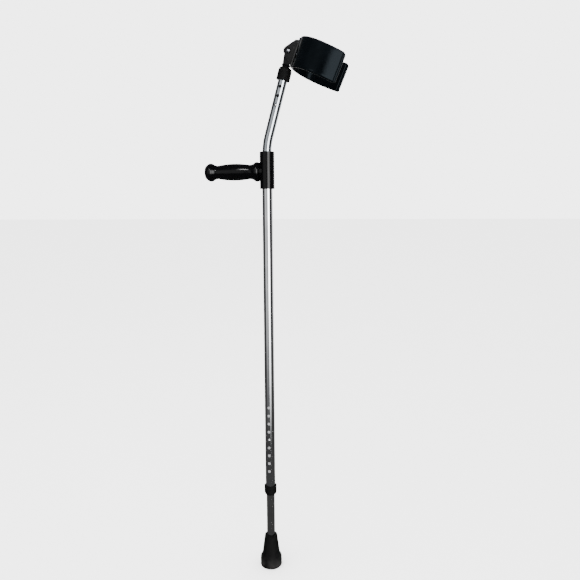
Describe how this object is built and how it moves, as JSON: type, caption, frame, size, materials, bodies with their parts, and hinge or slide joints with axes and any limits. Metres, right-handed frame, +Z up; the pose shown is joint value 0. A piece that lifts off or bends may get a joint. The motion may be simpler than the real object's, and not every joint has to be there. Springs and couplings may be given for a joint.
{
  "type": "forearm crutch",
  "caption": "Forearm crutch: telescoping polished tube leg with a rubber tip, side hand grip, and a black open cuff on a height-adjustable, tilting post.",
  "frame": {"origin": "centre of the rubber tip's flat sole, on the main tube's axis", "axes": "+Z up the main tube, the hand grip points to -X, the cuff opens to +X, the button holes face -Y"},
  "size_m": [0.3049, 0.112, 1.1793],
  "materials": {
    "tip_rubber": "matte moulded black rubber",
    "ring_rubber": "matte moulded black",
    "plated_steel": "zinc plated",
    "leg_aluminium": "polished and clear anodised",
    "main_aluminium": "polished and clear anodised",
    "upper_aluminium": "polished and clear anodised",
    "guide_plastic": "satin nylon",
    "button_steel": "polished",
    "spring_steel": "blued spring steel",
    "sleeve_plastic": "semi-gloss black",
    "rivet_aluminium": "black-coated aluminium",
    "core_steel": "zinc plated",
    "insert_steel": "zinc plated",
    "grip_plastic": "glossy moulded vinyl",
    "bolt_steel": "black oxide steel",
    "cap_plastic": "semi-gloss black",
    "post_black": "gloss black coating on steel",
    "bracket_black": "gloss black coating on steel",
    "pivot_steel": "black-coated steel",
    "spacer_nylon": "black nylon",
    "band_steel": "spring steel strip",
    "cuff_vinyl": "soft-sheen black vinyl",
    "rivet_black": "black-coated steel",
    "washer_black": "black-coated steel"
  },
  "bodies": {
    "shaft": {"main_tube": "main_aluminium", "main_tube_end_ring": "ring_rubber", "handle_sleeve": "sleeve_plastic", "sleeve_rivets": "rivet_aluminium", "handle_core_tube": "core_steel", "handle_core_insert": "insert_steel", "hand_grip": "grip_plastic", "grip_washer": "plated_steel", "grip_bolt": "bolt_steel", "grip_end_cap": "cap_plastic", "upper_tube": "upper_aluminium", "upper_tube_end_ring": "ring_rubber"},
    "leg": {"leg_tube": "leg_aluminium", "leg_top_glide": "guide_plastic", "rubber_tip": "tip_rubber", "tip_washer": "plated_steel", "leg_snap_spring": "spring_steel"},
    "leg_button": {"leg_snap_button": "button_steel"},
    "cuff_post": {"cuff_post": "post_black", "post_snap_spring": "spring_steel"},
    "post_button": {"post_snap_button": "button_steel"},
    "cuff": {"cuff_hinge_bracket": "bracket_black", "cuff_pivot_bolt": "pivot_steel", "cuff_pivot_spacers": "spacer_nylon", "cuff_pivot_washer": "plated_steel", "cuff_pivot_nut": "pivot_steel", "cuff_steel_band": "band_steel", "cuff_vinyl_cover": "cuff_vinyl", "cuff_rivets": "rivet_black", "cuff_rivet_washers": "washer_black"}
  },
  "joints": [
    {"name": "leg_slide", "type": "slide", "parent": "shaft", "child": "leg", "axis": [0, 0, 1], "range_m": [-0.0762, 0.0762], "deforming": ["leg_snap_spring", "leg_snap_button"]},
    {"name": "leg_button_press", "type": "slide", "parent": "leg", "child": "leg_button", "axis": [0, 1, 0], "range_m": [0, 0.0038], "stiffness_N_per_m": 1500},
    {"name": "cuff_height_slide", "type": "slide", "parent": "shaft", "child": "cuff_post", "axis": [0.2647, 0, 0.9643], "range_m": [0, 0.0381], "deforming": ["post_snap_spring", "post_snap_button"]},
    {"name": "post_button_press", "type": "slide", "parent": "cuff_post", "child": "post_button", "axis": [0, 1, 0], "range_m": [0, 0.0038], "stiffness_N_per_m": 1500},
    {"name": "cuff_tilt", "type": "hinge", "parent": "cuff_post", "child": "cuff", "pos_m": [0.04725, 0, 1.15612], "axis": [0, -1, 0], "range_deg": [0, 25]}
  ]
}
